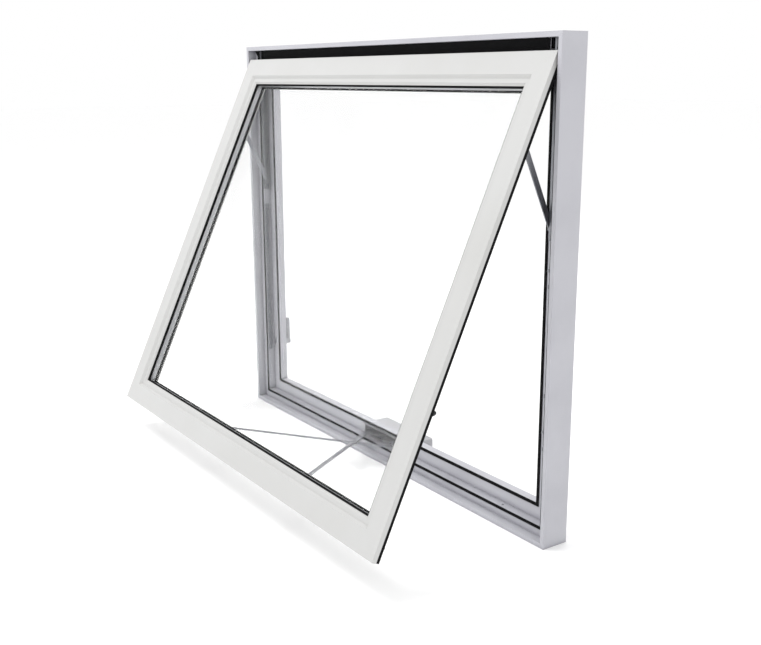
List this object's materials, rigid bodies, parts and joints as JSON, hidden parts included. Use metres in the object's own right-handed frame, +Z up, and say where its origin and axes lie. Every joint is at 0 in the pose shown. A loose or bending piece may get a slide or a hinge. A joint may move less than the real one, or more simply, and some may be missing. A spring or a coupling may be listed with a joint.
{
  "type": "window sash with crank",
  "caption": "White aluminium top-hung window, sash cranked open on projecting stays by a two-arm worm operator.",
  "frame": {"origin": "middle of the sill's underside, at half the frame's depth", "axes": "+Z up, +Y into the building, +X to the right seen from outside"},
  "size_m": [1.22, 0.575, 1.01],
  "materials": {
    "white_aluminium": "satin powder coat",
    "coated_frame": "satin powder coat",
    "steel": "brushed",
    "zinc_casting": "satin grey enamel",
    "rubber": "matte",
    "glass": "clear",
    "nylon": "matte",
    "spacer": "mill"
  },
  "bodies": {
    "frame": {"frame_head": "coated_frame", "frame_sill": "coated_frame", "frame_jamb_left": "coated_frame", "frame_jamb_right": "coated_frame", "frame_corner_keys": "spacer", "weatherstrip_outer": "rubber", "weatherstrip_inner": "rubber", "stay_track_left": "steel", "stay_track_right": "steel", "stay_foot_rivets": "steel", "operator_base": "steel", "operator_cover": "zinc_casting", "operator_face_plate": "zinc_casting", "operator_hub_pins": "steel", "operator_screws": "steel", "lock_roses": "zinc_casting", "tie_bar_guides": "steel"},
    "sash": {"sash_top_rail": "white_aluminium", "sash_bottom_rail": "white_aluminium", "sash_stile_left": "white_aluminium", "sash_stile_right": "white_aluminium", "sash_corner_keys": "spacer", "glazing_bead_top": "white_aluminium", "glazing_bead_bottom": "white_aluminium", "glazing_bead_left": "white_aluminium", "glazing_bead_right": "white_aluminium", "glazing_gasket_exterior": "rubber", "glazing_gasket_interior": "rubber", "glass_outer": "glass", "glass_inner": "glass", "glass_spacer": "spacer", "sash_edge_gasket": "rubber", "setting_blocks": "rubber", "sash_arm_left": "steel", "sash_arm_right": "steel", "sash_arm_rivets": "steel", "sash_arm_screws": "steel", "lock_keepers": "steel"},
    "support_arm_left": {"support_arm_left": "steel"},
    "support_arm_right": {"support_arm_right": "steel"},
    "stay_shoe_left": {"stay_shoe_left": "nylon"},
    "stay_shoe_right": {"stay_shoe_right": "nylon"},
    "operator_arm_left": {"operator_arm_left": "steel", "arm_button_left": "nylon", "gear_sector_left": "zinc_casting"},
    "operator_arm_right": {"operator_arm_right": "steel", "arm_button_right": "nylon", "gear_sector_right": "zinc_casting"},
    "crank_shaft": {"worm_shaft": "steel", "crank_hub": "zinc_casting", "crank_fold_pin": "steel"},
    "crank_lever": {"crank_lever": "zinc_casting", "crank_knob_pin": "steel"},
    "crank_knob": {"crank_knob": "nylon"},
    "lock_handle_left": {"lock_handle_left": "zinc_casting", "lock_finger_left": "steel"},
    "lock_handle_right": {"lock_handle_right": "zinc_casting", "lock_finger_right": "steel"},
    "tie_bar_left": {"tie_bar_left": "steel"},
    "tie_bar_right": {"tie_bar_right": "steel"}
  },
  "joints": [
    {"name": "vent_opening", "type": "hinge", "parent": "frame", "child": "support_arm_left", "pos_m": [-0.56775, -0.002, 0.6455], "axis": [1, 0, 0], "range_deg": [-24.8, 0]},
    {"name": "sash_on_arm", "type": "hinge", "parent": "support_arm_left", "child": "sash", "pos_m": [-0.56775, -0.07498, 0.80345], "axis": [1, 0, 0], "range_deg": [0, 49.6]},
    {"name": "shoe_left_turn", "type": "hinge", "parent": "sash", "child": "stay_shoe_left", "pos_m": [-0.572, -0.002, 0.96141], "axis": [1, 0, 0], "range_deg": [-24.8, 0]},
    {"name": "shoe_right_turn", "type": "hinge", "parent": "sash", "child": "stay_shoe_right", "pos_m": [0.572, -0.002, 0.96141], "axis": [1, 0, 0], "range_deg": [-24.8, 0]},
    {"name": "right_arm_turn", "type": "hinge", "parent": "frame", "child": "support_arm_right", "pos_m": [0.56775, -0.002, 0.6455], "axis": [1, 0, 0], "range_deg": [-24.8, 0]},
    {"name": "operator_arm_left_turn", "type": "hinge", "parent": "frame", "child": "operator_arm_left", "pos_m": [0.06, 0.021, 0.04115], "axis": [0, 0.135, 0.9909], "range_deg": [-52, 0]},
    {"name": "operator_arm_right_turn", "type": "hinge", "parent": "frame", "child": "operator_arm_right", "pos_m": [-0.06, 0.021, 0.04115], "axis": [0, 0.135, 0.9909], "range_deg": [0, 52]},
    {"name": "crank_turn", "type": "hinge", "parent": "frame", "child": "crank_shaft", "pos_m": [0, 0.0517, 0.04429], "axis": [0, 0.9909, -0.135], "range_deg": [-2160, 0]},
    {"name": "crank_fold", "type": "hinge", "parent": "crank_shaft", "child": "crank_lever", "pos_m": [0, 0.09827, 0.03794], "axis": [-0.866, 0.0675, 0.4954], "range_deg": [0, 75]},
    {"name": "knob_spin", "type": "hinge", "parent": "crank_lever", "child": "crank_knob", "pos_m": [0.038, 0.12301, 0.101], "axis": [0, 0.9909, -0.135], "continuous": true},
    {"name": "lock_left_turn", "type": "hinge", "parent": "frame", "child": "lock_handle_left", "pos_m": [-0.569, 0.032, 0.175], "axis": [0, 1, 0], "range_deg": [0, 90]},
    {"name": "lock_right_turn", "type": "hinge", "parent": "frame", "child": "lock_handle_right", "pos_m": [0.569, 0.032, 0.175], "axis": [0, 1, 0], "range_deg": [-90, 0]},
    {"name": "tie_bar_left_slide", "type": "slide", "parent": "frame", "child": "tie_bar_left", "axis": [0, 0, 1], "range_m": [0, 0.018]},
    {"name": "tie_bar_right_slide", "type": "slide", "parent": "frame", "child": "tie_bar_right", "axis": [0, 0, 1], "range_m": [0, 0.018]}
  ],
  "couplings": [
    {"joint": "sash_on_arm", "follows": "vent_opening", "ratio": -2},
    {"joint": "shoe_left_turn", "follows": "vent_opening", "ratio": 1},
    {"joint": "shoe_right_turn", "follows": "vent_opening", "ratio": 1},
    {"joint": "right_arm_turn", "follows": "vent_opening", "ratio": 1},
    {"joint": "operator_arm_left_turn", "follows": "vent_opening", "ratio": 2.0968},
    {"joint": "operator_arm_right_turn", "follows": "vent_opening", "ratio": -2.0968},
    {"joint": "crank_turn", "follows": "vent_opening", "ratio": 87.097},
    {"joint": "tie_bar_left_slide", "follows": "lock_left_turn", "m_per_rad": 0.011458},
    {"joint": "tie_bar_right_slide", "follows": "lock_right_turn", "m_per_rad": -0.011458}
  ]
}
